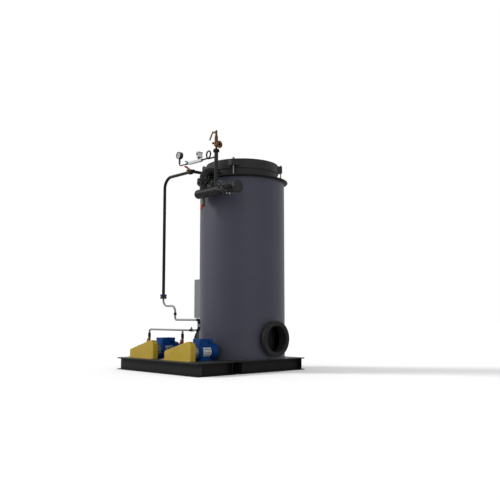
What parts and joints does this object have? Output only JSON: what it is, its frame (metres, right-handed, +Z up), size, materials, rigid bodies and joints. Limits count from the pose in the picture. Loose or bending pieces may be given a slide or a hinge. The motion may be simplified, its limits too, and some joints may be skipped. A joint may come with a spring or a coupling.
{
  "type": "industrial boiler",
  "caption": "Upright cylindrical steam boiler on two channel frames, with belt-driven feed pumps, feed line, steam header, stop valve, safety valve, gauge line, flue stub and control cabinet.",
  "frame": {"origin": "on the ground under the axis of the shell", "axes": "+Z up along the shell axis, -Y towards the belt guards, +X towards the flue stub"},
  "size_m": [1.925, 1.92, 3.22],
  "materials": {
    "frame_paint": "dark grey paint, satin",
    "deck_paint": "dark grey paint, satin",
    "shell_paint": "slate grey paint, satin",
    "vessel_steel": "heat-darkened steel",
    "lid_paint": "black heat-proof paint, satin",
    "flue_paint": "black heat-proof paint, matt",
    "stud_steel": "zinc-plated steel",
    "pipe_black": "black painted steel tube",
    "pipe_grey": "drawn steel tube",
    "valve_iron": "painted cast iron",
    "wheel_iron": "painted cast iron",
    "bronze": "dull cast bronze",
    "valve_brass": "plain brass",
    "lever_red": "red sleeve on flat steel",
    "bar_aluminium": "plain milled bar",
    "switch_grey": "pale grey case",
    "gauge_black": "black case",
    "dial_white": "pale dial",
    "union_blue": "dark blue paint",
    "guard_yellow": "yellow paint, satin",
    "motor_blue": "blue paint, satin",
    "fin_aluminium": "cast aluminium",
    "pump_iron": "grey painted iron",
    "cabinet_grey": "light grey powder coat"
  },
  "bodies": {
    "boiler": {"frame_cross_channels": "frame_paint", "frame_side_channels": "frame_paint", "frame_bearers": "frame_paint", "deck_plates": "deck_paint", "boiler_shell": "shell_paint", "inner_vessel": "vessel_steel", "shell_top_ring": "lid_paint", "lid_neck": "lid_paint", "lid_cover": "lid_paint", "lid_lugs": "lid_paint", "lid_studs": "stud_steel", "flue_stub": "flue_paint", "burner_port": "flue_paint", "steam_outlet_bend": "pipe_black", "steam_header": "pipe_black", "stop_valve_body": "valve_iron", "safety_valve_body": "bronze", "gauge_siphon": "pipe_black", "gauge_bar": "bar_aluminium", "pressure_switch": "switch_grey", "gauge_cock_pipe": "pipe_black", "gauge_case": "gauge_black", "gauge_dial": "dial_white", "feed_riser_pipe": "pipe_black", "feed_union": "union_blue", "feed_loop_pipes": "pipe_grey", "feed_elbows": "pipe_black", "feed_link_union": "stud_steel", "pipe_couplings": "pipe_black", "pump_manifold_pipe": "pipe_grey", "vent_cock": "bronze", "ball_valves": "valve_brass", "belt_guards": "guard_yellow", "feed_pumps": "pump_iron", "motor_drive_ends": "fin_aluminium", "motor_shields": "motor_blue", "motor_stators": "fin_aluminium", "motor_fan_covers": "motor_blue", "motor_terminal_boxes": "motor_blue", "cabinet_body": "cabinet_grey", "cabinet_door": "cabinet_grey", "cabinet_brackets": "frame_paint"},
    "feed_valve_lever": {"feed_valve_lever": "lever_red"},
    "drain_valve_lever": {"drain_valve_lever": "lever_red"},
    "pump_valve_lever_left": {"pump_valve_lever_left": "lever_red"},
    "pump_valve_lever_right": {"pump_valve_lever_right": "lever_red"},
    "stop_valve_handwheel": {"stop_valve_handwheel": "wheel_iron"},
    "safety_valve_lever": {"safety_valve_lever": "bronze"}
  },
  "joints": [
    {"name": "feed_valve_lever_turn", "type": "hinge", "parent": "boiler", "child": "feed_valve_lever", "pos_m": [-0.062, -0.911, 2.693], "axis": [0, 0, 1], "range_deg": [0, 90]},
    {"name": "drain_valve_lever_turn", "type": "hinge", "parent": "boiler", "child": "drain_valve_lever", "pos_m": [0.02, -0.72, 2.247], "axis": [0, 1, 0], "range_deg": [0, 90]},
    {"name": "pump_valve_lever_left_turn", "type": "hinge", "parent": "boiler", "child": "pump_valve_lever_left", "pos_m": [-1.036, -0.85, 0.414], "axis": [0, 1, 0], "range_deg": [0, 90]},
    {"name": "pump_valve_lever_right_turn", "type": "hinge", "parent": "boiler", "child": "pump_valve_lever_right", "pos_m": [-0.253, -0.85, 0.414], "axis": [0, 1, 0], "range_deg": [0, 90]},
    {"name": "stop_valve_handwheel_turn", "type": "hinge", "parent": "boiler", "child": "stop_valve_handwheel", "pos_m": [0.61, -0.94, 2.39], "axis": [0, 1, 0], "continuous": true},
    {"name": "safety_valve_lever_lift", "type": "hinge", "parent": "boiler", "child": "safety_valve_lever", "pos_m": [0.244, -0.72, 3.195], "axis": [0, 1, 0], "range_deg": [0, 20]}
  ]
}
